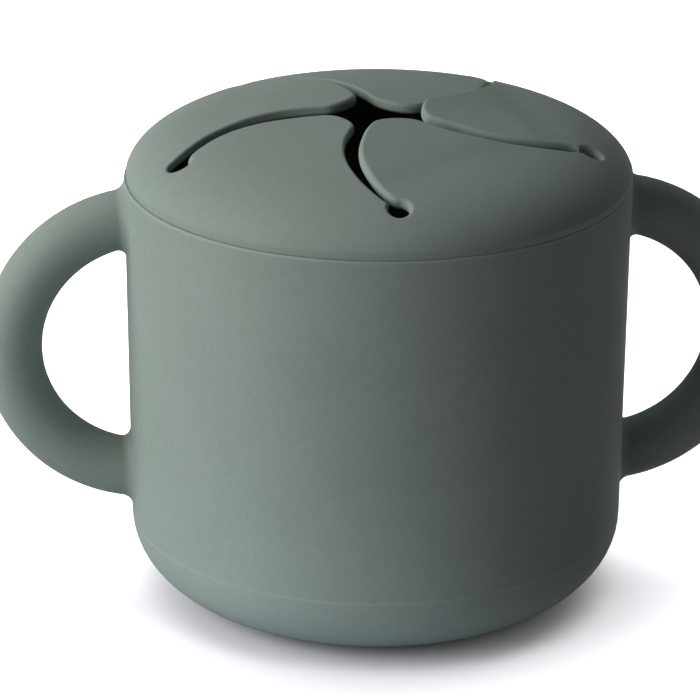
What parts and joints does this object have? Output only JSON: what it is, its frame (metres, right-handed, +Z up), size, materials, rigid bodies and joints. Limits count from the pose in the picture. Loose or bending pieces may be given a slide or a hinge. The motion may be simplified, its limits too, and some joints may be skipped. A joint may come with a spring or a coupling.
{
  "type": "toddler snack container",
  "caption": "Soft round snack cup for toddlers with loop handles and a domed push-through lid of curved flaps parted by slits.",
  "frame": {"origin": "middle of the flat base, on the surface that the cup stands on", "axes": "+Z up; the handles lie along X; the first slit of the lid points 2 degrees to the left of -Y seen from above"},
  "size_m": [0.1412, 0.09, 0.0909],
  "materials": {
    "cup_silicone": "matte moulded silicone",
    "lid_silicone": "matte moulded silicone"
  },
  "bodies": {
    "cup": {"cup_body": "cup_silicone", "handle_left": "cup_silicone", "handle_right": "cup_silicone"},
    "lid": {"lid_ring": "lid_silicone"},
    "flap_1": {"flap_1": "lid_silicone"},
    "flap_2": {"flap_2": "lid_silicone"},
    "flap_3": {"flap_3": "lid_silicone"},
    "flap_4": {"flap_4": "lid_silicone"},
    "flap_5": {"flap_5": "lid_silicone"}
  },
  "joints": [
    {"name": "lid_lift", "type": "slide", "parent": "cup", "child": "lid", "axis": [0, 0, 1], "range_m": [0, 0.05]},
    {"name": "flap_1_bend", "type": "hinge", "parent": "lid", "child": "flap_1", "pos_m": [0.01594, -0.02363, 0.08497], "axis": [0.829, 0.5592, 0], "range_deg": [-75, 50], "stiffness_Nm_per_rad": 0.025},
    {"name": "flap_2_bend", "type": "hinge", "parent": "lid", "child": "flap_2", "pos_m": [0.0274, 0.00786, 0.08497], "axis": [-0.2756, 0.9613, 0], "range_deg": [-75, 50], "stiffness_Nm_per_rad": 0.025},
    {"name": "flap_3_bend", "type": "hinge", "parent": "lid", "child": "flap_3", "pos_m": [0.001, 0.02848, 0.08497], "axis": [-0.9994, 0.0349, 0], "range_deg": [-75, 50], "stiffness_Nm_per_rad": 0.025},
    {"name": "flap_4_bend", "type": "hinge", "parent": "lid", "child": "flap_4", "pos_m": [-0.02678, 0.00975, 0.08497], "axis": [-0.342, -0.9397, 0], "range_deg": [-75, 50], "stiffness_Nm_per_rad": 0.025},
    {"name": "flap_5_bend", "type": "hinge", "parent": "lid", "child": "flap_5", "pos_m": [-0.01755, -0.02246, 0.08497], "axis": [0.788, -0.6157, 0], "range_deg": [-75, 50], "stiffness_Nm_per_rad": 0.025}
  ]
}
